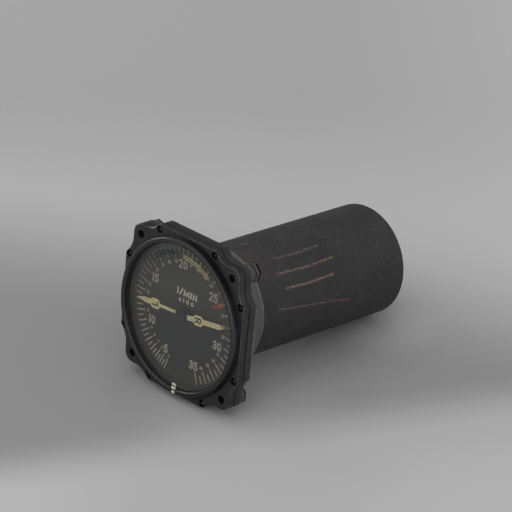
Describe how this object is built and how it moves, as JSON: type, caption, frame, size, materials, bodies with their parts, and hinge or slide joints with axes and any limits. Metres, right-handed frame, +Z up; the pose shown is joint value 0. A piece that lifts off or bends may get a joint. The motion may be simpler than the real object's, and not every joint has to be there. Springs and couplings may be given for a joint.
{
  "type": "dual tachometer",
  "caption": "Round-dial panel tachometer with two coaxial pointers on one speed scale, an eared square bezel and a long cylindrical case that holds two remote receivers.",
  "frame": {"origin": "on the instrument's axis, at the flange's front face that lies against the panel", "axes": "+X right seen from the front, +Y back along the instrument's axis, +Z up; the dial faces -Y"},
  "size_m": [0.082, 0.1445, 0.082],
  "materials": {
    "black_paint": "satin black enamel",
    "grey_paint": "satin black-grey enamel",
    "crinkle_paint": "black crinkle enamel",
    "dial_black": "matt black with cream markings",
    "glass": "clear, polished",
    "gasket": "matt",
    "pointer_paint": "matt cream luminous paint",
    "blackened": "chemically blackened",
    "steel": "ground",
    "aluminium": "turned",
    "laminations": "varnished laminations",
    "winding": "varnished copper wire",
    "slip_ring": "turned",
    "insulator": "moulded phenolic",
    "contact": "plated",
    "lead": "braided sleeving"
  },
  "bodies": {
    "case": {"bezel": "black_paint", "bezel_screws": "blackened", "glass_gasket": "gasket", "cover_glass": "glass", "glass_spacer_ring": "black_paint", "dial_plate": "dial_black", "carrier_plate": "aluminium", "pillar_screws": "steel", "front_pillars": "aluminium", "middle_pillars": "aluminium", "case_front": "grey_paint", "mounting_nuts": "blackened", "case_tube": "crinkle_paint", "rear_support_ring": "insulator", "receptacle_shell": "aluminium", "receptacle_insert": "insulator", "receptacle_contacts": "contact", "receptacle_screws": "steel", "front_leads": "lead", "rear_leads": "lead", "front_unit_front_plate": "aluminium", "front_unit_housing": "aluminium", "front_unit_rear_plate": "aluminium", "front_stator_core": "laminations", "front_stator_winding": "winding", "front_bearing_outers": "steel", "front_brushes": "contact", "front_brush_block": "insulator", "rear_unit_front_plate": "aluminium", "rear_unit_housing": "aluminium", "rear_unit_rear_plate": "aluminium", "rear_stator_core": "laminations", "rear_stator_winding": "winding", "rear_bearing_outers": "steel", "rear_brushes": "contact", "rear_brush_block": "insulator"},
    "left_pointer": {"pointer_left": "pointer_paint", "pointer_left_hub": "blackened", "hollow_shaft": "steel", "pilot_bush": "slip_ring", "front_rotor_core": "laminations", "front_rotor_coil": "winding", "front_bearing_inners": "steel", "front_slip_ring_sleeve": "insulator", "front_slip_rings": "slip_ring"},
    "right_pointer": {"pointer_right": "pointer_paint", "pointer_right_hub": "blackened", "long_shaft": "steel", "rear_rotor_core": "laminations", "rear_rotor_coil": "winding", "rear_bearing_inners": "steel", "rear_slip_ring_sleeve": "insulator", "rear_slip_rings": "slip_ring"}
  },
  "joints": [
    {"name": "left_pointer_turn", "type": "hinge", "parent": "case", "child": "left_pointer", "pos_m": [0, 0.004, 0], "axis": [0, 1, 0], "continuous": true},
    {"name": "right_pointer_turn", "type": "hinge", "parent": "case", "child": "right_pointer", "pos_m": [0, 0.002, 0], "axis": [0, 1, 0], "continuous": true}
  ]
}
